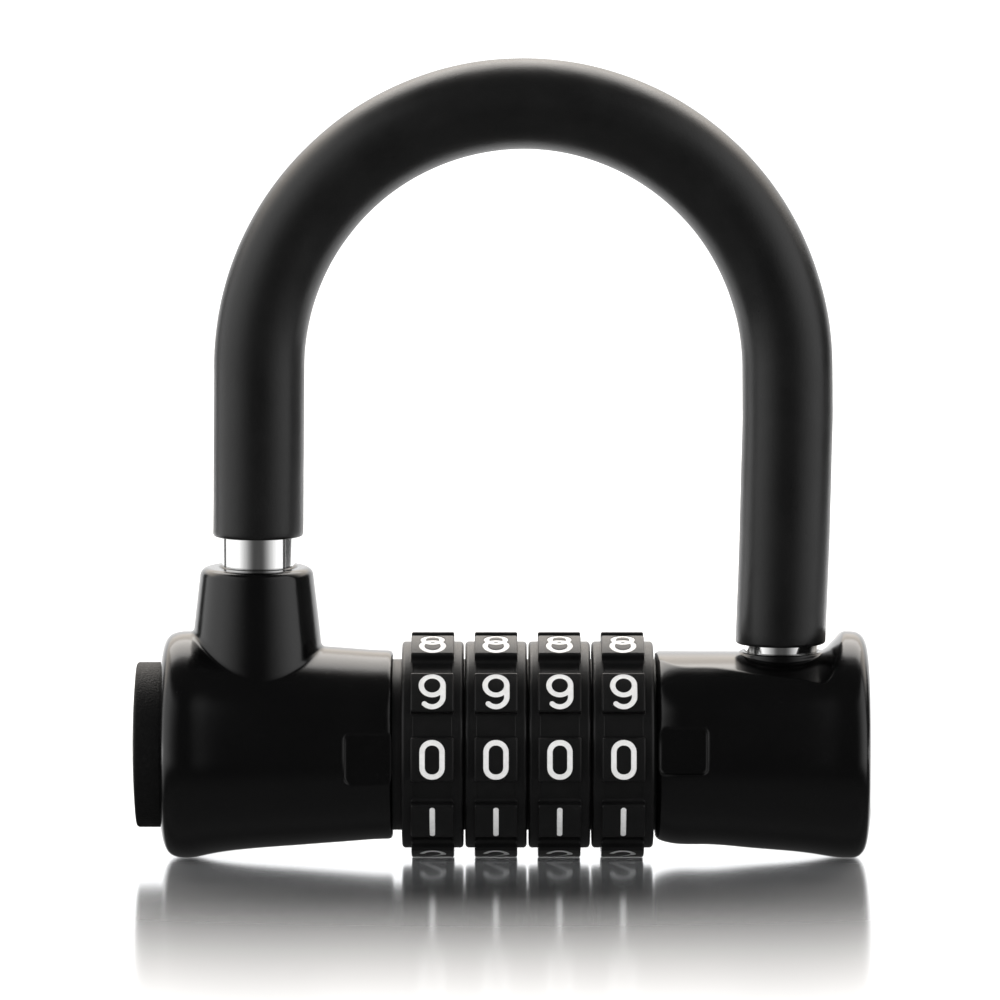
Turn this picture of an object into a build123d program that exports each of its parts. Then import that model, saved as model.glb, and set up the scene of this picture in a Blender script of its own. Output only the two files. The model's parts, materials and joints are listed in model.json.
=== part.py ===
from build123d import *
import math
import os

os.makedirs("parts", exist_ok=True)

# Combination u lock. Millimetres, +Z up, origin under the middle of the barrel.
# The barrel runs along X with the push cap at -X and the locking toe at +X.
# Every part is drawn about the barrel axis at z = 0 and lifted by AXIS_Z.

# overall
AXIS_Z = 15.75          # barrel axis above the base
FLARE_R = 15.75         # flared ends of both housings
RUN = 0.05              # radial running clearance

# shackle
ROD_R = 5.0
SLEEVE_R = 6.25
SLEEVE_BORE_R = 5.02
LEFT_LEG_X = -34.0
RIGHT_LEG_X = 38.4
BOW_R = (RIGHT_LEG_X - LEFT_LEG_X) / 2
BOW_Z = 52.7            # bow centre above the barrel axis
LEFT_LEG_Z = 4.6        # lower end of the guide leg
TOE_Z = -7.5            # lower end of the locking toe
SLEEVE_LEFT_Z = 29.1
SLEEVE_RIGHT_Z = 14.2
TOE_NOTCH_X = 36.65     # depth of the toe notch, measured from the left
TOE_NOTCH_HALF = 3.6

# dials
DIAL_COUNT = 4
DIAL_PITCH = 8.74
DIAL_FIRST_X = -9.84
DIAL_WIDTH = 8.5
DIAL_X = [DIAL_FIRST_X + n * DIAL_PITCH for n in range(DIAL_COUNT)]
PAD_R = 15.6
PAD_WIDTH = 5.9
SHOULDER_R = 14.3
GROOVE_R = 14.15
PAD_COUNT = 10
PAD_STEP = 360 / PAD_COUNT
GROOVE_WIDTH = 3.5
LIP_INNER_R = 11.2      # closing lip on each dial's right face
LIP_OUTER_R = 11.85
LIP_GROOVE_R = (10.9, 12.2)
LIP_HEIGHT = 0.6
LIP_GROOVE_DEPTH = 0.7
SPLINE_ROOT_R = 8.0
SPLINE_TIP_R = 9.0
SPLINE_WIDTH = 1.8

# digits
DIGIT_W = 3.75
DIGIT_H = 5.5
STROKE = 0.77
INLAY_GAP = 0.01        # between a digit and the wall of its pocket
DIGIT_TOP_R = 15.54
DIGIT_FLOOR_R = 15.15
ZERO_SLIM = 0.25        # the zero is this much narrower than the round digits
DIGIT_CORNER = 1.3      # centreline radius of the tighter bowls

# housings
LEFT_END_X = -47.4
LEFT_FACE_X = -15.35
RIGHT_FACE_X = 20.93
RIGHT_END_X = 51.35
SEAT_Z = 12.9           # crest of the gently arched seat around the toe socket
SEAT_R = 24.0           # arch radius of the seat across the barrel
SEAT_END_X = 43.2       # where the seat starts to rise to the end ear
RAMP_R = 2.6
RAMP_ANGLE = 48
SEAT_ROUNDING = 0.8
COLLAR_R = 5.9          # low collar round the toe socket
COLLAR_Z = 13.1
NECK_X = -34.2
NECK_TOP_Z = 24.8
NECK_TOP_HALF = (7.73, 8.2)     # half widths along X and Y at the top
NECK_TAPER = (0.118, 0.13)     # widening per mm of depth along X and Y
NECK_ROOT_Z = 5.0
NECK_RIM = 1.2
SADDLE = 0.6
SPACER_R = 11.85
HUB_R = 7.4

# code mechanism
TUBE_BORE_R = 3.25
TUBE_R = 4.6
TUBE_X0 = -22.0
TUBE_X1 = 27.5
SPINDLE_R = 3.2
SPINDLE_THIN_R = 2.4
SPINDLE_SHOULDER_X = -21.9
BOLT_TIP_X = 32.85
TRAVEL = 3.5            # push cap stroke
FIN_T = 1.2
FIN_W = 1.6
FIN_R = 6.2
FIN_OFFSET = -TRAVEL / 2    # fin centre from its dial centre with the cap out
CODE_BORE_R = TUBE_R + RUN
CODE_CHAMBER_R = 6.6
CODE_HALF = 3.65
FLANGE_T = 1.2
GATE_W = 2.0
DETENT_R = 0.55

# push cap
CAP_R = 11.45
CAP_POCKET_R = 11.75
CAP_POCKET_X = -40.5
CAP_OUT_X = -51.35
CAP_SKIRT_X = -44.1
CAP_INNER_X = -49.6
CAP_BOSS_R = 4.2        # boss that takes the spindle
CROSS_PIN_X = -47.6
CROSS_PIN_R = 0.6

# seals and pins
SEAL_R = 0.9
NECK_SEAL_Z = 20.0
SOCKET_SEAL_Z = 9.6
PIN_R = 0.9
PIN_Y = 4.9
PIN_TOP_Z = 4.5
LEFT_PIN_X = -18.7
RIGHT_PIN_X = 24.2


def turned(x0, x1, outer, bore=0):
    """Plain cylinder or ring on the barrel axis between two stations."""
    body = Pos(x0, 0, 0) * Rot(0, 90, 0) * Cylinder(
        outer, x1 - x0, align=(Align.CENTER, Align.CENTER, Align.MIN))
    if bore:
        body -= Pos(x0 - 1, 0, 0) * Rot(0, 90, 0) * Cylinder(
            bore, x1 - x0 + 2, align=(Align.CENTER, Align.CENTER, Align.MIN))
    return body


def post(x, y, z0, z1, radius):
    """Upright cylinder."""
    return Pos(x, y, z0) * Cylinder(
        radius, z1 - z0, align=(Align.CENTER, Align.CENTER, Align.MIN))


def box(x0, x1, y0, y1, z0, z1):
    """Block given by its limits."""
    return Pos((x0 + x1) / 2, (y0 + y1) / 2, (z0 + z1) / 2) * Box(x1 - x0, y1 - y0, z1 - z0)


def revolved_barrel(curve_points):
    """Barrel blank: a smooth outline of (x, radius) points turned about X."""
    outline = Spline(*[(x, 0, r) for x, r in curve_points])
    first = outline @ 0
    last = outline @ 1
    edges = [
        outline,
        Line(last, (last.X, 0, 0)),
        Line((last.X, 0, 0), (first.X, 0, 0)),
        Line((first.X, 0, 0), first),
    ]
    return revolve(make_face(edges), axis=Axis.X)


def seal_groove(x, z):
    """Ring groove for a shackle seal."""
    return post(x, 0, z - SEAL_R - 0.1, z + SEAL_R + 0.1, ROD_R + 2 * SEAL_R + 0.1)


def seal(x, z):
    """Rubber ring that grips the shackle leg."""
    return Pos(x, 0, z) * Torus(ROD_R + 0.03 + SEAL_R, SEAL_R)


def index_pocket(x0, x1, z0, z1, depth_y):
    """Shallow window beside the dials that marks the reading line."""
    window = Plane.XZ * Pos((x0 + x1) / 2, (z0 + z1) / 2) * RectangleRounded(
        x1 - x0, z1 - z0, 0.85)
    return Pos(0, -depth_y, 0) * extrude(window, 6)


def make_neck():
    """Tapered neck around the guide leg, deeper than it is wide, with a rounded top edge."""
    depth = NECK_TOP_Z - NECK_ROOT_Z
    top = Plane.XY.offset(NECK_TOP_Z) * Ellipse(*NECK_TOP_HALF)
    root = Plane.XY.offset(NECK_ROOT_Z) * Ellipse(
        NECK_TOP_HALF[0] + NECK_TAPER[0] * depth, NECK_TOP_HALF[1] + NECK_TAPER[1] * depth)
    neck = loft([root, top])
    rim = neck.edges().sort_by(Axis.Z)[-1]
    return Pos(NECK_X, 0, 0) * fillet(rim, NECK_RIM)


def make_left_housing():
    """Barrel end with the push cap pocket and the guide neck."""
    outline = [
        (-47.4, 12.3), (-47.05, 13.9), (-46.3, 15.12), (-45.0, 15.66), (-43.7, FLARE_R),
        (-41.0, 15.25), (-38.0, 14.75), (-33.6, 14.32), (-29.2, 14.0), (-24.7, 13.66),
        (-20.3, 13.33), (-16.4, 13.1), (-15.6, 12.95), (LEFT_FACE_X, 12.6),
    ]
    barrel = revolved_barrel(outline)
    neck = make_neck()
    body = barrel + neck
    saddle = [e for e in body.edges()
              if e.geom_type not in (GeomType.CIRCLE, GeomType.LINE)
              and e.bounding_box().min.Z > 5
              and e.bounding_box().max.Z < NECK_TOP_Z - 3
              and abs(e.center().X - NECK_X) < 4]
    body = fillet(saddle, SADDLE)
    body -= turned(LEFT_END_X - 1, CAP_POCKET_X, CAP_POCKET_R)
    body -= turned(CAP_POCKET_X - 1, TUBE_X0 + 1, SPINDLE_THIN_R + RUN)
    body -= turned(TUBE_X0, LEFT_FACE_X + 1, TUBE_R)
    body -= post(LEFT_LEG_X, 0, LEFT_LEG_Z - 0.2, NECK_TOP_Z + 1, ROD_R + RUN)
    mouth = Pos(LEFT_LEG_X, 0, NECK_TOP_Z - 0.45) * Cone(
        ROD_R + RUN, ROD_R + RUN + 0.9, 0.9, align=(Align.CENTER, Align.CENTER, Align.MIN))
    body -= mouth
    body -= seal_groove(LEFT_LEG_X, NECK_SEAL_Z)
    body -= index_pocket(-21.9, LEFT_FACE_X + 1.2, -3.7, 3.2, 12.5)
    body -= post(LEFT_PIN_X, PIN_Y, -FLARE_R, PIN_TOP_Z, PIN_R)
    return body


def make_seat_cutter():
    """Space above the arched seat, closed by the ramp that runs up to the end ear."""
    slope = math.radians(RAMP_ANGLE)
    bend_x = SEAT_END_X + RAMP_R * math.sin(slope)
    bend_z = SEAT_Z + RAMP_R * (1 - math.cos(slope))
    top_z = FLARE_R + 4
    top_x = bend_x + (top_z - bend_z) / math.tan(slope)
    mid_x = SEAT_END_X + RAMP_R * math.sin(slope / 2)
    mid_z = SEAT_Z + RAMP_R * (1 - math.cos(slope / 2))
    start_x = RIGHT_FACE_X - 1
    profile = make_face([
        Line((start_x, 0, SEAT_Z), (SEAT_END_X, 0, SEAT_Z)),
        ThreePointArc((SEAT_END_X, 0, SEAT_Z), (mid_x, 0, mid_z), (bend_x, 0, bend_z)),
        Line((bend_x, 0, bend_z), (top_x, 0, top_z)),
        Line((top_x, 0, top_z), (start_x, 0, top_z)),
        Line((start_x, 0, top_z), (start_x, 0, SEAT_Z)),
    ])
    arch_axis = Axis((0, 0, SEAT_Z - SEAT_R), (1, 0, 0))
    return revolve(profile, axis=arch_axis)


def make_right_housing():
    """Barrel end with the toe socket, its seat and the raised end ear."""
    outline = [
        (RIGHT_FACE_X, 12.6), (21.2, 13.0), (22.0, 13.4), (27.8, 13.85), (34.4, 14.35),
        (40.0, 14.8), (43.5, 15.25), (46.0, 15.65), (47.8, FLARE_R), (49.0, 15.55),
        (49.9, 14.7), (50.4, 13.0), (50.85, 9.8), (51.2, 5.6), (RIGHT_END_X, 0.6),
    ]
    body = revolved_barrel(outline)
    body -= make_seat_cutter()
    crease = [e for e in body.edges().filter_by(GeomType.BSPLINE) if e.bounding_box().min.Z > 9]
    body = fillet(crease, SEAT_ROUNDING)
    collar = post(RIGHT_LEG_X, 0, 0, COLLAR_Z, COLLAR_R)
    body += fillet(collar.edges().sort_by(Axis.Z)[-1], 0.35)
    body += turned(RIGHT_FACE_X - 0.78, RIGHT_FACE_X + 0.5, HUB_R)
    body -= turned(RIGHT_FACE_X - 2, TUBE_X1, TUBE_R)
    body -= turned(TUBE_X1 - 1, RIGHT_LEG_X, SPINDLE_R + RUN)
    body -= turned(RIGHT_FACE_X - 1, RIGHT_FACE_X + LIP_GROOVE_DEPTH, LIP_GROOVE_R[1], LIP_GROOVE_R[0])
    body -= post(RIGHT_LEG_X, 0, TOE_Z - 0.2, COLLAR_Z + 1, ROD_R + RUN)
    body -= seal_groove(RIGHT_LEG_X, SOCKET_SEAL_Z)
    body -= index_pocket(21.35, 27.9, -2.3, 4.1, 12.7)
    body -= post(RIGHT_PIN_X, PIN_Y, -FLARE_R, PIN_TOP_Z, PIN_R)
    return body


def make_roll_pin(x, z0):
    """Slit spring pin that locks the core tube into a housing."""
    pin = post(x, PIN_Y, z0, PIN_TOP_Z, PIN_R) - post(x, PIN_Y, z0 - 1, PIN_TOP_Z + 1, PIN_R / 2)
    pin -= box(x - 0.15, x + 0.15, PIN_Y, PIN_Y + 2, z0 - 1, PIN_TOP_Z + 1)
    return pin


def make_core_tube():
    """Fixed tube that joins the housings and carries the code rings."""
    tube = turned(TUBE_X0, TUBE_X1, TUBE_R, TUBE_BORE_R)
    slot_x0 = DIAL_X[0] - 2.76
    slot_x1 = DIAL_X[-1] + 2.76
    tube -= box(slot_x0, slot_x1, -FIN_W / 2 - 0.1, FIN_W / 2 + 0.1, 0, 6)
    tube -= box(DIAL_X[0] - 3.0, DIAL_X[-1] + 3.0, -0.7, 0.7, -6, 0)
    tube -= post(LEFT_PIN_X, PIN_Y, -FLARE_R, PIN_TOP_Z, PIN_R)
    tube -= post(RIGHT_PIN_X, PIN_Y, -FLARE_R, PIN_TOP_Z, PIN_R)
    return tube


def make_spacer_ring():
    """Ring between the left housing and the first dial, with a hub for its code ring."""
    ring = turned(LEFT_FACE_X, DIAL_X[0] - DIAL_WIDTH / 2 - 0.15, SPACER_R)
    hub = turned(LEFT_FACE_X, DIAL_X[0] - CODE_HALF - 0.12, HUB_R)
    ring += turned(LEFT_FACE_X, DIAL_X[0] - DIAL_WIDTH / 2 + 0.36, LIP_OUTER_R, LIP_INNER_R)
    return ring + hub - turned(LEFT_FACE_X - 1, DIAL_X[0], TUBE_R)


def make_divider_washers():
    """Washers on the core tube between neighbouring code rings."""
    half = DIAL_PITCH / 2 - CODE_HALF - 0.12
    return [turned(x + DIAL_PITCH / 2 - half, x + DIAL_PITCH / 2 + half, HUB_R, TUBE_R)
            for x in DIAL_X[:-1]]


def spline_section():
    """Round section with driving splines, shared by a dial bore and its code ring."""
    section = Circle(SPLINE_ROOT_R)
    for n in range(PAD_COUNT):
        section += Rot(0, 0, n * PAD_STEP) * Pos(SPLINE_TIP_R / 2, 0) * Rectangle(
            SPLINE_TIP_R, SPLINE_WIDTH)
    return section


def make_code_ring(x):
    """Ring with a slotted flange that passes one spindle fin at its own digit."""
    ring = Plane.YZ.offset(x - CODE_HALF) * spline_section()
    ring = extrude(ring, 2 * CODE_HALF)
    ring -= turned(x - 5, x - FLANGE_T / 2, CODE_CHAMBER_R)
    ring -= turned(x + FLANGE_T / 2, x + 5, CODE_CHAMBER_R)
    ring -= turned(x - 1, x + 1, CODE_BORE_R)
    ring -= box(x - 1, x + 1, -GATE_W / 2, GATE_W / 2, 0, CODE_CHAMBER_R - 0.05)
    for n in range(1, PAD_COUNT):
        ring -= Rot(n * PAD_STEP, 0, 0) * Pos(x, 0, CODE_BORE_R) * Rot(0, 90, 0) * Cylinder(
            DETENT_R, FLANGE_T + 0.4)
    return ring


def make_click_spring():
    """Leaf in the tube's lower slot with one click bump under each code ring."""
    leaf = box(DIAL_X[0] - 3.0, DIAL_X[-1] + 3.0, -0.5, 0.5, -3.85, -3.55)
    for x in DIAL_X:
        leaf += post(x, 0, -4.7, -3.7, 0.4)
        leaf += Pos(x, 0, -4.7) * Sphere(0.4)
    return leaf


def pad_section():
    """Ten pads around the dial with rounded grooves between them."""
    section = Circle(PAD_R)
    groove = Pos(PAD_R, 0) * Rectangle(2 * (PAD_R - GROOVE_R), GROOVE_WIDTH)
    for n in range(PAD_COUNT):
        section -= Rot(0, 0, (n + 0.5) * PAD_STEP) * groove
    outer = [v for v in section.vertices() if v.center().length > PAD_R - 0.2]
    section = fillet(outer, 0.35)
    inner = [v for v in section.vertices() if v.center().length < GROOVE_R + 0.3]
    return fillet(inner, 0.55)


def make_dial_blank():
    """Dial before its digit pockets: pad band, two shoulders and a splined bore."""
    half = DIAL_WIDTH / 2
    band = extrude(Plane.YZ.offset(-PAD_WIDTH / 2) * pad_section(), PAD_WIDTH)
    rims = [e for e in band.edges() if abs(abs(e.center().X) - PAD_WIDTH / 2) < 0.01]
    band = fillet(rims, 0.25)
    shoulders = turned(-half, half, SHOULDER_R)
    shoulders = fillet(shoulders.edges().filter_by(GeomType.CIRCLE), 0.5)
    shoulders -= turned(-PAD_WIDTH / 2 + 0.3, PAD_WIDTH / 2 - 0.3, 20, 12)
    blank = band + shoulders + turned(half - 0.5, half + LIP_HEIGHT, LIP_OUTER_R, LIP_INNER_R)
    blank -= turned(-half - 1, -half + LIP_GROOVE_DEPTH, LIP_GROOVE_R[1], LIP_GROOVE_R[0])
    return blank - extrude(Plane.YZ.offset(-half - 1) * spline_section(), DIAL_WIDTH + 2)


def stroke(edge, pen):
    """Round-ended pen stroke along a centreline."""
    return SlotArc(edge, pen)


def arc(cx, cy, r, start, sweep):
    """Arc centreline."""
    return CenterArc((cx, cy), r, start, sweep).edge()


def seg(x0, y0, x1, y1):
    """Straight centreline."""
    return Line((x0, y0), (x1, y1)).edge()


def digit_sketches(pen):
    """Plain rounded digits 0 to 9, drawn with one pen in a box centred on the origin."""
    w = (DIGIT_W - STROKE) / 2
    h = (DIGIT_H - STROKE) / 2
    low_c = -h + w
    loop = Circle(w + pen / 2) - Circle(w - pen / 2)
    small = Circle(DIGIT_CORNER + pen / 2) - Circle(DIGIT_CORNER - pen / 2)
    zero_w = 2 * w - ZERO_SLIM
    zero = RectangleRounded(zero_w + pen, 2 * h + pen, DIGIT_CORNER + pen / 2)
    zero -= RectangleRounded(zero_w - pen, 2 * h - pen, DIGIT_CORNER - pen / 2)
    one = stroke(seg(0, -h, 0, h), pen)
    two = stroke(arc(0, h - w, w, 165, -185), pen)
    two += stroke(seg(w - 0.03, h - w - 0.15, -w, -h), pen) + stroke(seg(-w, -h, w, -h), pen)
    three = stroke(arc(-0.1, h - DIGIT_CORNER, DIGIT_CORNER, 150, -240), pen) + stroke(arc(0, low_c, w, 90, -245), pen)
    four = stroke(seg(0.35, h, -w, -1.0), pen) + stroke(seg(-w, -1.0, w, -1.0), pen)
    four += stroke(seg(0.7, 0.7, 0.7, -h), pen)
    five = stroke(seg(1.2, h, -1.2, h), pen) + stroke(seg(-1.2, h, -1.35, 0.1), pen)
    five += stroke(arc(-0.05, -h + 1.55, 1.55, 145, -290), pen)
    six = Pos(0, low_c) * loop + stroke(seg(-w, low_c, -w, -low_c), pen)
    six += stroke(arc(0, -low_c, w, 180, -135), pen)
    seven = stroke(seg(-w, h, w, h), pen) + stroke(seg(w, h, -0.5, -h), pen)
    eight = Pos(0, low_c) * loop + Pos(0, h - DIGIT_CORNER) * small
    nine = Rot(0, 0, 180) * six
    return [zero, one, two, three, four, five, six, seven, eight, nine]


def make_digits(floor_r, top_r, pen):
    """Digit solids around a dial at x = 0; digit 0 faces -Y and the rest follow downward."""
    shell = turned(-3, 3, top_r, floor_r)
    solids = []
    for n, sketch in enumerate(digit_sketches(pen)):
        block = Pos(0, -14, 0) * extrude(Plane.XZ * sketch, 3)
        solids.append(Rot(n * PAD_STEP, 0, 0) * (block & shell))
    return solids


def cross_pin():
    """Pin that holds the cap boss on the spindle."""
    return post(CROSS_PIN_X, 0, -CAP_BOSS_R, CAP_BOSS_R, CROSS_PIN_R)


def make_push_cap():
    """Round end cap with a boss for the spindle."""
    cap = turned(CAP_OUT_X + 0.4, CAP_SKIRT_X, CAP_R)
    dome = revolve(make_face([
        ThreePointArc((CAP_OUT_X, 0, 0), (CAP_OUT_X + 0.12, 0, 6.5), (CAP_OUT_X + 0.5, 0, CAP_R)),
        Line((CAP_OUT_X + 0.5, 0, CAP_R), (CAP_OUT_X + 0.5, 0, 0)),
        Line((CAP_OUT_X + 0.5, 0, 0), (CAP_OUT_X, 0, 0)),
    ]), axis=Axis.X)
    cap -= turned(CAP_OUT_X, CAP_OUT_X + 0.5, CAP_R + 1)
    cap += dome
    rim = [e for e in cap.edges() if abs(e.center().X - CAP_OUT_X - 0.5) < 0.1]
    cap = fillet(rim, 0.45)
    cap -= turned(CAP_INNER_X, CAP_SKIRT_X + 1, CAP_R - 1.5)
    cap += turned(CAP_INNER_X - 0.5, CAP_SKIRT_X - 1.4, CAP_BOSS_R)
    cap -= turned(CAP_INNER_X - 0.7, CAP_SKIRT_X, SPINDLE_THIN_R)
    return cap - cross_pin()


def make_spindle():
    """Pushed rod: thin through the left housing, thick through the tube, bolt nose right."""
    rod = turned(CAP_INNER_X - 0.7, SPINDLE_SHOULDER_X + 1, SPINDLE_THIN_R)
    thick = turned(SPINDLE_SHOULDER_X, BOLT_TIP_X, SPINDLE_R)
    thick = chamfer(thick.edges().filter_by(GeomType.CIRCLE).sort_by(Axis.X)[-1], 0.6)
    rod += thick
    rod -= box(DIAL_X[0] - 2.9, DIAL_X[-1] + 0.3, -FIN_W / 2, FIN_W / 2, 0.8, 5)
    return rod - cross_pin()


def make_fin_blade():
    """Comb blade let into the spindle, one fin for each code ring."""
    blade = box(DIAL_X[0] - 2.9, DIAL_X[-1] + 0.3, -FIN_W / 2, FIN_W / 2, 0.8, 3.0)
    for x in DIAL_X:
        centre = x + FIN_OFFSET
        blade += box(centre - FIN_T / 2, centre + FIN_T / 2, -FIN_W / 2, FIN_W / 2, 1, FIN_R)
    return blade


def make_cap_spring():
    """Coil that pushes the cap back out."""
    wire_r = 0.4
    x0 = CAP_INNER_X + wire_r + 0.05
    x1 = CAP_POCKET_X - wire_r - 0.05
    coil = Helix(pitch=(x1 - x0) / 4, height=x1 - x0, radius=5.6)
    section = Plane(coil @ 0, z_dir=coil % 0) * Circle(wire_r)
    return Pos(x0, 0, 0) * Rot(0, 90, 0) * sweep(section, path=coil, is_frenet=True)


def shackle_path(left_z, right_z):
    """Centreline of the bow between two leg heights."""
    left = Line((LEFT_LEG_X, 0, left_z), (LEFT_LEG_X, 0, BOW_Z))
    right = Line((RIGHT_LEG_X, 0, BOW_Z), (RIGHT_LEG_X, 0, right_z))
    centre = (LEFT_LEG_X + RIGHT_LEG_X) / 2
    bow = ThreePointArc(left @ 1, (centre, 0, BOW_Z + BOW_R), right @ 0)
    return Wire([left.edge(), bow.edge(), right.edge()])


def end_rims(bar, left_z, right_z):
    """Round edges at the two ends of a bent bar."""
    return [e for e in bar.edges().filter_by(GeomType.CIRCLE)
            if min(abs(e.center().Z - left_z), abs(e.center().Z - right_z)) < 0.01]


def make_shackle():
    """Round steel u with a guide leg and a notched locking toe."""
    path = shackle_path(LEFT_LEG_Z, TOE_Z)
    rod = sweep(Plane(path @ 0, z_dir=path % 0) * Circle(ROD_R), path=path)
    rod = chamfer(end_rims(rod, LEFT_LEG_Z, TOE_Z), 0.8)
    return rod - box(RIGHT_LEG_X - ROD_R - 1, TOE_NOTCH_X, -6, 6, -TOE_NOTCH_HALF, TOE_NOTCH_HALF)


def make_sleeve():
    """Soft sleeve over the exposed shackle."""
    path = shackle_path(SLEEVE_LEFT_Z, SLEEVE_RIGHT_Z)
    start = Plane(path @ 0, z_dir=path % 0)
    outer = sweep(start * Circle(SLEEVE_R), path=path)
    outer = fillet(end_rims(outer, SLEEVE_LEFT_Z, SLEEVE_RIGHT_Z), 0.35)
    return outer - sweep(start * Circle(SLEEVE_BORE_R), path=path)


def save(node, *solids):
    """Lift a node to its height and write its file."""
    lifted = [Pos(0, 0, AXIS_Z) * s for s in solids]
    shape = lifted[0] if len(lifted) == 1 else Compound(children=lifted)
    export_step(shape, f"parts/{node}.step")


save("left_housing", make_left_housing())
save("right_housing", make_right_housing())
save("core_tube", make_core_tube())
save("spacer_ring", make_spacer_ring())
save("divider_washers", *make_divider_washers())
save("click_spring", make_click_spring())
save("cap_spring", make_cap_spring())
save("neck_seal", seal(LEFT_LEG_X, NECK_SEAL_Z))
save("socket_seal", seal(RIGHT_LEG_X, SOCKET_SEAL_Z))
save("left_roll_pin", make_roll_pin(LEFT_PIN_X, -12.2))
save("right_roll_pin", make_roll_pin(RIGHT_PIN_X, -12.4))

dial_blank = make_dial_blank()
for pocket in make_digits(DIGIT_FLOOR_R, PAD_R + 0.3, STROKE):
    dial_blank -= pocket
digits = make_digits(DIGIT_FLOOR_R, DIGIT_TOP_R, STROKE - 2 * INLAY_GAP)
for number, dial_x in enumerate(DIAL_X, start=1):
    save(f"dial_{number}", Pos(dial_x, 0, 0) * dial_blank)
    save(f"numerals_{number}", *[Pos(dial_x, 0, 0) * d for d in digits])
    save(f"code_ring_{number}", make_code_ring(dial_x))

save("push_cap", make_push_cap())
save("spindle", make_spindle())
save("fin_blade", make_fin_blade())
save("cap_cross_pin", cross_pin())
save("shackle", make_shackle())
save("shackle_sleeve", make_sleeve())
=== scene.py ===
"""Combination u lock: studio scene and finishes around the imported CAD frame. Metres, +Z up."""

import json
import math

import bpy
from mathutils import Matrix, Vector, noise


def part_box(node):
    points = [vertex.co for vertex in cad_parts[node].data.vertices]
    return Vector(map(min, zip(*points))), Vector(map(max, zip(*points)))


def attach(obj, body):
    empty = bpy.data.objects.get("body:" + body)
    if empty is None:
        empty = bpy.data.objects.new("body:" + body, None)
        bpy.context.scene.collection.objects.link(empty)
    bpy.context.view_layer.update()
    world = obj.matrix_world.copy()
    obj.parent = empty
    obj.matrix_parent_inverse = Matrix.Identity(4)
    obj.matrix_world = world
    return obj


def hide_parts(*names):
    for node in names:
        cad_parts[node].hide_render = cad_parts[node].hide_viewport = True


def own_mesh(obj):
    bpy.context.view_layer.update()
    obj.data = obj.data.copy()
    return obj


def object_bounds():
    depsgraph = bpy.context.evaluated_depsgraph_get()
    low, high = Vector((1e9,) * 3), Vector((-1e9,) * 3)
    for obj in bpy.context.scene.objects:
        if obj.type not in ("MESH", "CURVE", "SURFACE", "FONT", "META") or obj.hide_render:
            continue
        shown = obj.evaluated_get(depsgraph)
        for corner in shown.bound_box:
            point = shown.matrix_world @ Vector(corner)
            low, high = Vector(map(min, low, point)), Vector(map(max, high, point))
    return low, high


MM = 0.001

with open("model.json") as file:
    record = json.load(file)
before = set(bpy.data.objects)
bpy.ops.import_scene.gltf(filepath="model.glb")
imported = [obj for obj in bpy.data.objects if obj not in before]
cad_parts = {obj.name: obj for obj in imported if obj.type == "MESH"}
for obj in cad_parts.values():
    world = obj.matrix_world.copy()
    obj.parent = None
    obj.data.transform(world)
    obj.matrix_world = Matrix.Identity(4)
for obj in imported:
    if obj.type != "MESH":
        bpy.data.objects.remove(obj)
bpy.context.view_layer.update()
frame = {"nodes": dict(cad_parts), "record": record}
nodes = frame["nodes"]


# ---------------------------------------------------------------- node helpers

BEVEL_SAMPLES = 12
GRAIN_SMOOTHNESS = 0.6


class NodeTree:
    """Shorthand for adding nodes to a tree."""

    def __init__(self, tree):
        self.tree = tree

    def plug(self, value, socket):
        """Links a socket, or sets a number."""
        if isinstance(value, (int, float)):
            socket.default_value = value
        else:
            self.tree.links.new(value, socket)

    def math(self, operation, *values):
        """Arithmetic on numbers or sockets."""
        node = self.tree.nodes.new("ShaderNodeMath")
        node.operation = operation
        for socket, value in zip(node.inputs, values):
            self.plug(value, socket)
        return node.outputs["Value"]

    def map_range(self, value, lo, hi, to_lo, to_hi, interpolation="LINEAR"):
        """Remap of a range, clamped at its ends."""
        node = self.tree.nodes.new("ShaderNodeMapRange")
        node.interpolation_type = interpolation
        node.inputs["From Min"].default_value = lo
        node.inputs["From Max"].default_value = hi
        node.inputs["To Min"].default_value = to_lo
        node.inputs["To Max"].default_value = to_hi
        self.tree.links.new(value, node.inputs["Value"])
        return node.outputs["Result"]


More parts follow.
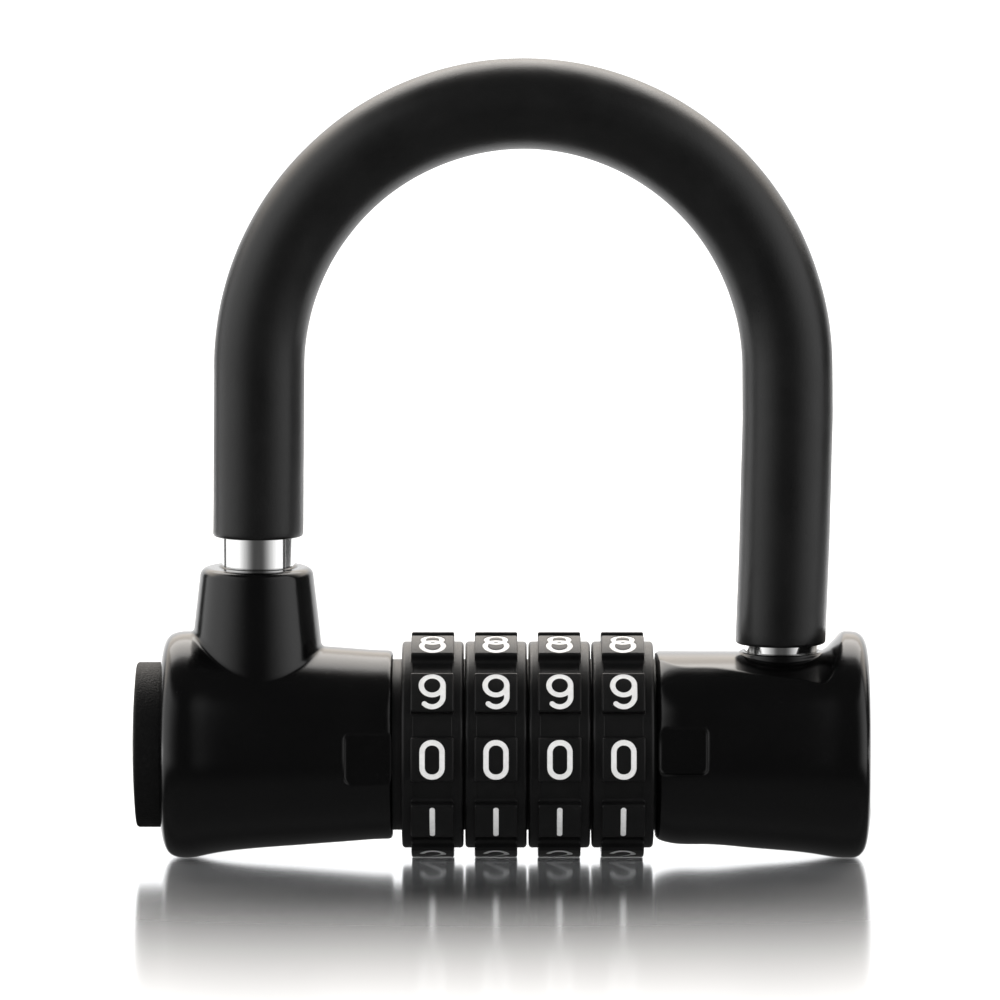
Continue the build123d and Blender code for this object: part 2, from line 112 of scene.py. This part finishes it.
class Shader(NodeTree):
    """A procedural material: one Principled shader and the nodes that feed it."""

    def __init__(self, name):
        self.material = bpy.data.materials.new(name)
        self.material.use_nodes = True
        super().__init__(self.material.node_tree)
        self.shader = self.tree.nodes["Principled BSDF"]
        self.coords = self.tree.nodes.new("ShaderNodeTexCoord").outputs["Object"]

    def set(self, **sockets):
        """Uniform values, set on the shader's own sockets."""
        for name, value in sockets.items():
            self.shader.inputs[name.replace("_", " ")].default_value = value
        return self

    def stretched(self, sx, sy, sz):
        """Coordinates scaled per axis."""
        node = self.tree.nodes.new("ShaderNodeMapping")
        node.inputs["Scale"].default_value = (sx, sy, sz)
        self.tree.links.new(self.coords, node.inputs["Vector"])
        return node.outputs["Vector"]

    def noise(self, per_metre, detail=3.0, rough=0.55, coords=None):
        """Fractal noise with its main grain at 1/per_metre."""
        node = self.tree.nodes.new("ShaderNodeTexNoise")
        node.inputs["Scale"].default_value = per_metre
        node.inputs["Detail"].default_value = detail
        node.inputs["Roughness"].default_value = rough
        self.tree.links.new(coords or self.coords, node.inputs["Vector"])
        return node.outputs["Fac"]

    def cells(self, per_metre):
        """Rounded grain from cell distances."""
        node = self.tree.nodes.new("ShaderNodeTexVoronoi")
        node.feature = "SMOOTH_F1"
        node.inputs["Scale"].default_value = per_metre
        node.inputs["Smoothness"].default_value = GRAIN_SMOOTHNESS
        self.tree.links.new(self.coords, node.inputs["Vector"])
        return node.outputs["Distance"]

    def ramp(self, value, stops):
        """Colour ramp through (position, colour) stops."""
        node = self.tree.nodes.new("ShaderNodeValToRGB")
        elements = node.color_ramp.elements
        while len(elements) < len(stops):
            elements.new(0.5)
        for element, (position, colour) in zip(elements, stops):
            element.position = position
            element.color = (*colour, 1)
        self.tree.links.new(value, node.inputs["Fac"])
        return node.outputs["Color"]

    def edges(self, lo, hi):
        """Convex edge mask from the mesh's pointiness."""
        node = self.tree.nodes.new("ShaderNodeNewGeometry")
        return self.map_range(node.outputs["Pointiness"], lo, hi, 0, 1)

    def colour(self, socket):
        """Feeds the base colour."""
        self.tree.links.new(socket, self.shader.inputs["Base Color"])
        return self

    def roughness(self, socket):
        """Feeds the roughness."""
        self.tree.links.new(socket, self.shader.inputs["Roughness"])
        return self

    def bump(self, layers, rounding=0.0):
        """Stacks (height, strength, depth) layers over rounded edges into the normal, in mm."""
        normal = None
        if rounding:
            bevel = self.tree.nodes.new("ShaderNodeBevel")
            bevel.samples = BEVEL_SAMPLES
            bevel.inputs["Radius"].default_value = rounding * MM
            normal = bevel.outputs["Normal"]
        for height, strength, depth in layers:
            node = self.tree.nodes.new("ShaderNodeBump")
            node.inputs["Strength"].default_value = strength
            node.inputs["Distance"].default_value = depth * MM
            self.tree.links.new(height, node.inputs["Height"])
            if normal is not None:
                self.tree.links.new(normal, node.inputs["Normal"])
            normal = node.outputs["Normal"]
        self.tree.links.new(normal, self.shader.inputs["Normal"])
        return self


# ---------------------------------------------------------------- finishes

def gloss_black():
    """Glossy black moulding with faint ripple, handling marks and fine dust."""
    s = Shader("gloss_black").set(Specular_IOR_Level=0.4)
    smudge = s.noise(90, 4, 0.6)
    dust = s.map_range(s.noise(2600, 2, 0.5), 0.66, 0.74, 0, 1)
    s.colour(s.ramp(s.math("ADD", s.math("MULTIPLY", smudge, 0.7), s.math("MULTIPLY", dust, 0.3)),
                    [(0.2, (0.001, 0.001, 0.0011)), (0.7, (0.002, 0.002, 0.0021)),
                     (1.0, (0.01, 0.01, 0.01))]))
    s.roughness(s.math("ADD", s.map_range(smudge, 0.3, 0.7, 0.14, 0.2), s.math("MULTIPLY", dust, 0.1)))
    return s.bump([(s.noise(260, 2, 0.5), 0.1, 0.2), (s.noise(3000, 2, 0.6), 0.04, 0.04)],
                  rounding=0.6)


def dial_black():
    """Satin black moulded dial with fine spark texture and a painted highlight along its convex edges.
    """
    s = Shader("dial_black").set(Specular_IOR_Level=0.25)
    grain = s.noise(5200, 3, 0.6)
    # painted highlight: the colour turns lighter on every convex edge of the dial
    painted_edge_highlight = s.edges(0.52, 0.62)
    s.colour(s.ramp(s.math("ADD", s.noise(300, 3, 0.6), s.math("MULTIPLY", painted_edge_highlight, 0.25)),
                    [(0.3, (0.0045, 0.0045, 0.0046)), (0.75, (0.007, 0.007, 0.0071)),
                     (1.0, (0.016, 0.016, 0.016))]))
    s.roughness(s.map_range(grain, 0.35, 0.65, 0.3, 0.44))
    return s.bump([(grain, 0.25, 0.06), (s.noise(600, 2, 0.5), 0.08, 0.2)],
                  rounding=0.15)


def spacer_black():
    """Turned satin black ring."""
    s = Shader("spacer_black").set(Specular_IOR_Level=0.25)
    lines = s.noise(40, 4, 0.7, s.stretched(120, 4, 4))
    s.colour(s.ramp(lines, [(0.3, (0.005, 0.005, 0.0052)), (0.8, (0.01, 0.01, 0.01))]))
    s.roughness(s.map_range(lines, 0.3, 0.7, 0.32, 0.45))
    return s.bump([(lines, 0.15, 0.05)])


def numeral_white():
    """White filled digits, slightly uneven and dulled."""
    s = Shader("numeral_white").set(Specular_IOR_Level=0.35)
    mottled = s.noise(1500, 4, 0.6)
    s.colour(s.ramp(mottled, [(0.2, (0.78, 0.78, 0.77)), (0.6, (0.9, 0.9, 0.89))]))
    s.roughness(s.map_range(mottled, 0.3, 0.7, 0.42, 0.58))
    return s.bump([(mottled, 0.15, 0.08)])


def cap_grain():
    """Fine spark-eroded matte black plastic."""
    s = Shader("cap_grain").set(Specular_IOR_Level=0.16)
    grain = s.cells(3600)
    speckle = s.noise(2400, 4, 0.65)
    s.colour(s.ramp(speckle, [(0.3, (0.0025, 0.0025, 0.0026)), (0.6, (0.005, 0.005, 0.0051)),
                              (0.85, (0.014, 0.014, 0.014))]))
    s.roughness(s.map_range(speckle, 0.3, 0.7, 0.5, 0.68))
    return s.bump([(grain, 0.45, 0.1), (speckle, 0.3, 0.12)])


def sleeve_vinyl():
    """Soft dip-moulded vinyl: broad sheen, faint flow lines and pores."""
    s = Shader("sleeve_vinyl").set(Specular_IOR_Level=0.41)
    flow = s.noise(130, 4, 0.6)
    pores = s.noise(3800, 3, 0.6)
    s.colour(s.ramp(flow, [(0.3, (0.0035, 0.0035, 0.0036)), (0.7, (0.006, 0.006, 0.0061))]))
    s.roughness(s.math("ADD", s.map_range(flow, 0.3, 0.7, 0.29, 0.37),
                       s.map_range(pores, 0.3, 0.7, -0.03, 0.05)))
    return s.bump([(flow, 0.1, 0.6), (pores, 0.18, 0.06)])


def chrome():
    """Polished chromed bar with faint drawn lines along its length."""
    s = Shader("chrome").set(Metallic=1.0)
    drawn = s.noise(30, 5, 0.7, s.stretched(90, 90, 3))
    s.colour(s.ramp(drawn, [(0.2, (0.70, 0.70, 0.695)), (0.7, (0.82, 0.82, 0.815))]))
    s.roughness(s.map_range(drawn, 0.3, 0.75, 0.06, 0.15))
    return s.bump([(drawn, 0.05, 0.06)])


def turned_steel():
    """Bright turned steel with tool rings across the barrel axis."""
    s = Shader("turned_steel").set(Metallic=1.0)
    rings = s.noise(50, 4, 0.7, s.stretched(110, 3, 3))
    s.colour(s.ramp(rings, [(0.2, (0.40, 0.40, 0.40)), (0.8, (0.58, 0.58, 0.57))]))
    s.roughness(s.map_range(rings, 0.3, 0.7, 0.22, 0.4))
    return s.bump([(rings, 0.2, 0.06)])


def spring_wire():
    """Drawn spring steel with a light oil film."""
    s = Shader("spring_wire").set(Metallic=1.0)
    film = s.noise(700, 4, 0.6)
    s.colour(s.ramp(film, [(0.3, (0.26, 0.25, 0.24)), (0.7, (0.42, 0.41, 0.40))]))
    s.roughness(s.map_range(film, 0.3, 0.7, 0.22, 0.38))
    return s.bump([(film, 0.12, 0.05)])


def turned_brass():
    """Turned brass, a little tarnished in patches."""
    s = Shader("turned_brass").set(Metallic=1.0)
    rings = s.noise(50, 4, 0.7, s.stretched(100, 3, 3))
    patches = s.noise(260, 4, 0.6)
    s.colour(s.ramp(patches, [(0.3, (0.44, 0.29, 0.10)), (0.7, (0.66, 0.47, 0.19))]))
    s.roughness(s.map_range(rings, 0.3, 0.7, 0.2, 0.38))
    return s.bump([(rings, 0.2, 0.06)])


def seal_rubber():
    """Dull black rubber."""
    s = Shader("seal_rubber").set(Specular_IOR_Level=0.3)
    grain = s.noise(2500, 4, 0.6)
    s.colour(s.ramp(grain, [(0.3, (0.01, 0.01, 0.01)), (0.7, (0.022, 0.022, 0.022))]))
    s.roughness(s.map_range(grain, 0.3, 0.7, 0.6, 0.8))
    return s.bump([(grain, 0.3, 0.06)])


POLISH = 0.96                   # mirror share of the table right under the lock
POLISH_FADE = (0.004, 0.118)    # distances over which the polish fades out
POLISH_WIDENING = 0.35          # sideways distances count this much


def studio_floor():
    """Pale table top, polished where the lock stands and matt further out."""
    s = Shader("studio_floor").set(Specular_IOR_Level=0.0)
    tone = s.noise(3, 3, 0.5)
    s.colour(s.ramp(tone, [(0.2, (0.90, 0.915, 0.935)), (0.8, (0.92, 0.935, 0.955))]))
    s.roughness(s.map_range(tone, 0.3, 0.7, 0.13, 0.16))
    away = s.tree.nodes.new("ShaderNodeVectorMath")
    away.operation = "LENGTH"
    s.tree.links.new(s.stretched(POLISH_WIDENING, 1.0, 1.0), away.inputs[0])
    polish = s.map_range(away.outputs["Value"], *POLISH_FADE, POLISH, 0.0)
    s.tree.links.new(polish, s.shader.inputs["Metallic"])
    return s


FINISHES = {
    "housing": gloss_black, "dial": dial_black, "spacer": spacer_black, "numeral": numeral_white,
    "cap": cap_grain, "sleeve": sleeve_vinyl, "chrome": chrome, "steel": turned_steel,
    "spring": spring_wire, "brass": turned_brass, "seal": seal_rubber,
}
materials = {slot: make().material for slot, make in FINISHES.items()}

for part in frame["record"]["subparts"]:
    mesh = nodes[part["node"]].data
    mesh.materials.clear()
    mesh.materials.append(materials[part["material_slot"]])


# ---------------------------------------------------------------- pieces

def add_mesh(name, verts, faces, material, smooth=True):
    """Mesh object in the scene."""
    mesh = bpy.data.meshes.new(name)
    mesh.from_pydata([tuple(v) for v in verts], [], faces)
    mesh.polygons.foreach_set("use_smooth", [smooth] * len(mesh.polygons))
    mesh.materials.append(material)
    mesh.update()
    piece = bpy.data.objects.new(name, mesh)
    bpy.context.scene.collection.objects.link(piece)
    return piece


SLEEVE_SIDES = 72
SLEEVE_STEP = 0.9 * MM
SLEEVE_LIP = 0.45 * MM
SLEEVE_LIP_STEPS = 5
SLEEVE_WALL = 1.2 * MM
SLEEVE_TURN_IN = 2 * MM     # straight bore at each end
SLEEVE_RIPPLE = 0.035 * MM
RIPPLES_PER_METRE = 90
RIPPLE_FRACTAL = (1.0, 2.0, 3)      # dimension, lacunarity, octaves
RIPPLE_PEAK = 0.4           # highest swell, as a share of the ripple
# sideways set of the sleeve towards +X at shares of its length, left end to right end
SLEEVE_SET = ((0.0, 0.0), (0.12, 0.2 * MM), (0.3, 0.42 * MM), (0.5, 0.46 * MM),
              (0.72, 0.6 * MM), (0.82, 0.78 * MM), (0.92, 0.4 * MM), (1.0, -0.1 * MM))


def sleeve_route():
    """(point, direction across the loop) pairs along the sleeve, left end to right end."""
    low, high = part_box("shackle_sleeve")
    radius = (high.y - low.y) / 2
    left_x = low.x + radius
    right_x = high.x - radius
    bow_radius = (right_x - left_x) / 2
    centre = Vector(((left_x + right_x) / 2, (low.y + high.y) / 2, high.z - radius - bow_radius))
    left_end = min(v.co.z for v in nodes["shackle_sleeve"].data.vertices if v.co.x < centre.x)
    route = []
    rise = centre.z - left_end
    steps = round(rise / SLEEVE_STEP)
    for k in range(steps):
        route.append((Vector((left_x, centre.y, left_end + rise * k / steps)), Vector((-1, 0, 0))))
    steps = round(math.pi * bow_radius / SLEEVE_STEP)
    for k in range(steps + 1):
        angle = math.pi * (1 - k / steps)
        out = Vector((math.cos(angle), 0, math.sin(angle)))
        route.append((centre + out * bow_radius, out))
    fall = centre.z - low.z
    steps = round(fall / SLEEVE_STEP)
    for k in range(1, steps + 1):
        route.append((Vector((right_x, centre.y, centre.z - fall * k / steps)), Vector((1, 0, 0))))
    return route, radius


def sideways_set(share):
    """Sideways set of the sleeve at a share of its length."""
    for (a, set_a), (b, set_b) in zip(SLEEVE_SET, SLEEVE_SET[1:]):
        if share <= b:
            return set_a + (set_b - set_a) * (share - a) / (b - a)
    return SLEEVE_SET[-1][1]


def sleeve_rings():
    """(centre, direction across the loop, radius, ripple) rings once round the sleeve's wall."""
    route, radius = sleeve_route()
    inner = radius - SLEEVE_WALL
    up = Vector((0, 0, 1))
    at = [0.0]
    for (a, _), (b, _) in zip(route, route[1:]):
        at.append(at[-1] + (b - a).length)
    total = at[-1]
    stations = []
    for (point, out), length in zip(route, at):
        shifted = point + Vector((sideways_set(length / total), 0, 0))
        stations.append((point, shifted, out, min(length, total - length)))
    _, first, first_out, _ = stations[0]
    _, last, last_out, _ = stations[-1]
    lip = [(Vector(), inner)]
    for k in range(SLEEVE_LIP_STEPS + 1):
        angle = math.pi / 2 * k / SLEEVE_LIP_STEPS
        rise = up * SLEEVE_LIP * (1 - math.cos(angle))
        lip.append((rise, radius - SLEEVE_LIP * (1 - math.sin(angle))))
    rings = [(first + up * SLEEVE_TURN_IN, first_out, inner, 0)]
    rings += [(first + rise, first_out, r, 0) for rise, r in lip]
    rings += [(shifted, out, radius, SLEEVE_RIPPLE)
              for _, shifted, out, from_end in stations if from_end >= SLEEVE_LIP * 2]
    rings += [(last + rise, last_out, r, 0) for rise, r in reversed(lip)]
    rings.append((last + up * SLEEVE_TURN_IN, last_out, inner, 0))
    rings += [(point, out, inner, 0)
              for point, _, out, from_end in reversed(stations) if from_end > SLEEVE_TURN_IN]
    return rings


def build_sleeve():
    """Closed sleeve skin over the CAD sleeve, with rolled ends and a slight ripple outside."""
    across = Vector((0, 1, 0))
    rings = sleeve_rings()
    verts = []
    faces = []
    for n, (centre, out, radius, ripple) in enumerate(rings):
        start = n * SLEEVE_SIDES
        following = (n + 1) % len(rings) * SLEEVE_SIDES
        for k in range(SLEEVE_SIDES):
            angle = math.tau * k / SLEEVE_SIDES
            direction = out * math.cos(angle) + across * math.sin(angle)
            place = centre + direction * radius
            swell = ripple * noise.fractal(place * RIPPLES_PER_METRE, *RIPPLE_FRACTAL)
            verts.append(place + direction * min(swell, RIPPLE_PEAK * ripple))
            beside = (k + 1) % SLEEVE_SIDES
            faces.append((start + k, following + k, following + beside, start + beside))
    sleeve = add_mesh("sleeve_skin", verts, faces, materials["sleeve"])
    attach(sleeve, "shackle")
    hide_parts("shackle_sleeve")


SPRING_WIRE_R = 0.4 * MM
SPRING_TURNS = 4
SPRING_STEPS = 40           # stations in each turn
SPRING_SIDES = 12


def build_cap_spring():
    """Coil behind the push cap, fixed to the lock body."""
    low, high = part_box("cap_spring")
    axis_y, axis_z = (low.y + high.y) / 2, (low.z + high.z) / 2
    coil_r = (high.y - low.y) / 2 - SPRING_WIRE_R
    start_x = low.x + SPRING_WIRE_R
    length = high.x - low.x - 2 * SPRING_WIRE_R
    along = Vector((1, 0, 0))
    stations = SPRING_TURNS * SPRING_STEPS
    verts = []
    for k in range(stations + 1):
        angle = math.tau * k / SPRING_STEPS
        out = Vector((0, math.cos(angle), math.sin(angle)))
        centre = Vector((start_x + length * k / stations, axis_y, axis_z)) + out * coil_r
        for side in range(SPRING_SIDES):
            turn = math.tau * side / SPRING_SIDES
            verts.append(centre + (out * math.cos(turn) + along * math.sin(turn)) * SPRING_WIRE_R)
    faces = [tuple(range(SPRING_SIDES))]
    for k in range(stations):
        a, b = k * SPRING_SIDES, (k + 1) * SPRING_SIDES
        for side in range(SPRING_SIDES):
            beside = (side + 1) % SPRING_SIDES
            faces.append((a + side, b + side, b + beside, a + beside))
    faces.append(tuple(reversed(range(stations * SPRING_SIDES, (stations + 1) * SPRING_SIDES))))
    coil = add_mesh("cap_spring_coil", verts, faces, materials["spring"])
    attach(coil, "lock_body")
    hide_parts("cap_spring")
    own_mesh(coil)


build_sleeve()
build_cap_spring()


# ---------------------------------------------------------------- studio

LOWEST_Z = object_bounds()[0].z
FLOOR_GAP = 0.02 * MM       # from the lowest point down to the floor
FLOOR_FRONT = -0.8          # floor edges, measured from the middle of its polished patch
FLOOR_BACK = 1.0
FLOOR_SIDE = 1.2
POLISH_CENTRE_Y = -0.03
LAMP_TARGET = Vector((0, 0, 0.04))


def build_floor():
    """Pale table top just under the lowest point, left out of the reflections in the lock."""
    corners = [(-FLOOR_SIDE, FLOOR_FRONT, 0), (FLOOR_SIDE, FLOOR_FRONT, 0),
               (FLOOR_SIDE, FLOOR_BACK, 0), (-FLOOR_SIDE, FLOOR_BACK, 0)]
    floor = add_mesh("floor", corners, [(0, 1, 2, 3)], studio_floor().material, smooth=False)
    floor.location = (0, POLISH_CENTRE_Y, LOWEST_Z - FLOOR_GAP)
    floor.visible_glossy = False


def softbox(name, place, aim, size, radiance):
    """Rectangular area light of a given radiance at a place, aimed at a point."""
    width, height = size
    light = bpy.data.lights.new(name, "AREA")
    light.shape = "RECTANGLE"
    light.size = width
    light.size_y = height
    light.energy = radiance * math.pi * width * height
    lamp = bpy.data.objects.new(name, light)
    lamp.location = place
    lamp.rotation_euler = (Vector(aim) - Vector(place)).to_track_quat("-Z", "Y").to_euler()
    lamp.visible_camera = False
    bpy.context.scene.collection.objects.link(lamp)
    return lamp


def build_lights():
    """Soft lamps behind and in front, and the glow of the table behind the lock."""
    softbox("back_panel", place=(0, 0.75, 1.1), aim=LAMP_TARGET, size=(1.6, 0.8), radiance=2.6)
    fill = softbox("front_fill", place=(0, -1.3, 0.4), aim=LAMP_TARGET, size=(0.9, 0.7), radiance=3.3)
    fill.visible_glossy = False
    table = Vector((0, 0.16, LOWEST_Z + MM))
    softbox("table_glow", place=table, aim=table + Vector((0, 0, 1)), size=(0.5, 0.25), radiance=1.3)


# radiances of the surround
WHITE = 1.5                 # white panels at the sides and behind, and the backdrop
OVERHEAD = 1.45             # extra, high up behind the lock
ROOM = 0.08                 # dim room in front
BELOW = 0.15                # table in front, seen in the undersides
# bearings, from straight in front of the lock towards +X
GAP_FADE = (math.radians(10), math.radians(78))     # dim opening in front turns white
DARK_STRIPS = ((-132, 8), (118, 20))                # gaps between panels: middle, half width
STRIP_SOFTNESS = 3
# heights and depths of a direction of length 1, over which each share fades in or out
SIDES_RISE = (-0.36, -0.13)
SIDES_END = (0.70, 0.86)
OVERHEAD_DEPTH = (0.1, 0.52)
OVERHEAD_RISE = (0.2, 0.45)
BELOW_DROP = (0.1, 0.7)
BELOW_DEPTH = (-0.7, 0.0)
WARM_WHITE = (1.0, 0.92, 0.83, 1)
COOL_WHITE = (1.0, 1.0, 1.0, 1)


class Surround(NodeTree):
    """World built from the direction looked in."""

    def __init__(self, name):
        self.world = bpy.data.worlds.new(name)
        self.world.use_nodes = True
        super().__init__(self.world.node_tree)
        self.background = self.tree.nodes["Background"]
        direction = self.tree.nodes.new("ShaderNodeTexCoord").outputs["Generated"]
        self.axes = self.tree.nodes.new("ShaderNodeSeparateXYZ")
        self.tree.links.new(direction, self.axes.inputs[0])

    def fade(self, value, lo, hi):
        """Smooth 0 to 1 step between two values."""
        return self.map_range(value, lo, hi, 0, 1, "SMOOTHSTEP")

    def product(self, a, b):
        """Two shares multiplied."""
        return self.math("MULTIPLY", a, b)

    def minus(self, value):
        """A value with its sign turned."""
        return self.math("MULTIPLY", value, -1.0)

    def beside(self, x, y):
        """Share of the side panels by bearing: none in front, and none in the dark strips."""
        bearing = self.math("ARCTAN2", x, self.minus(y))
        share = self.fade(self.math("ABSOLUTE", bearing), *GAP_FADE)
        for middle, half in DARK_STRIPS:
            away = self.math("ABSOLUTE", self.math("SUBTRACT", bearing, math.radians(middle)))
            off_strip = self.fade(away, math.radians(half - STRIP_SOFTNESS),
                                  math.radians(half + STRIP_SOFTNESS))
            share = self.product(share, off_strip)
        return share


def build_world():
    """White surround, warmer high up behind, with a dim opening in front that runs overhead."""
    sky = Surround("surround")
    x, y, z = (sky.axes.outputs[name] for name in "XYZ")
    level = sky.math("SUBTRACT", sky.fade(z, *SIDES_RISE), sky.fade(z, *SIDES_END))
    above = sky.product(sky.fade(y, *OVERHEAD_DEPTH), sky.fade(z, *OVERHEAD_RISE))
    share = sky.math("MAXIMUM", sky.product(sky.beside(x, y), level), above)
    strength = sky.math("MULTIPLY_ADD", share, WHITE - ROOM, ROOM)
    strength = sky.math("MULTIPLY_ADD", above, OVERHEAD, strength)
    table = sky.product(sky.fade(sky.minus(z), *BELOW_DROP), sky.fade(sky.minus(y), *BELOW_DEPTH))
    strength = sky.math("MAXIMUM", strength, sky.product(table, BELOW))
    seen = sky.tree.nodes.new("ShaderNodeLightPath").outputs["Is Camera Ray"]
    strength = sky.math("MAXIMUM", strength, sky.product(seen, WHITE))
    sky.plug(strength, sky.background.inputs["Strength"])
    warmth = sky.tree.nodes.new("ShaderNodeMix")
    warmth.data_type = "RGBA"
    sky.plug(sky.math("SUBTRACT", above, seen), warmth.inputs["Factor"])
    warmth.inputs["A"].default_value = COOL_WHITE
    warmth.inputs["B"].default_value = WARM_WHITE
    sky.plug(warmth.outputs["Result"], sky.background.inputs["Color"])
    bpy.context.scene.world = sky.world


CAMERA_DISTANCE = 1.0
CAMERA_ELEVATION = math.radians(6.0)
CAMERA_CLIP = (0.01, 50)
VIEW_CENTRE_X = -0.00055
VIEW_RISE = 0.0341          # middle of the picture above the barrel axis
FRAME_WIDTH = 0.13827       # metres seen across the picture at the lock
SENSOR = 36.0


def build_camera():
    """Long-lens camera, slightly above the lock and square to its front."""
    dial_low, dial_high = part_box("dial_2")
    target = Vector((VIEW_CENTRE_X, 0, (dial_low.z + dial_high.z) / 2 + VIEW_RISE))
    data = bpy.data.cameras.new("camera")
    data.sensor_width = SENSOR
    data.lens = SENSOR * CAMERA_DISTANCE / FRAME_WIDTH
    data.clip_start, data.clip_end = CAMERA_CLIP
    camera = bpy.data.objects.new("camera", data)
    offset = Vector((0, -math.cos(CAMERA_ELEVATION), math.sin(CAMERA_ELEVATION)))
    camera.location = target + offset * CAMERA_DISTANCE
    camera.rotation_euler = (math.pi / 2 - CAMERA_ELEVATION, 0, 0)
    bpy.context.scene.collection.objects.link(camera)
    bpy.context.scene.camera = camera


build_world()
build_floor()
build_lights()
build_camera()
bpy.context.scene.view_settings.view_transform = "Standard"
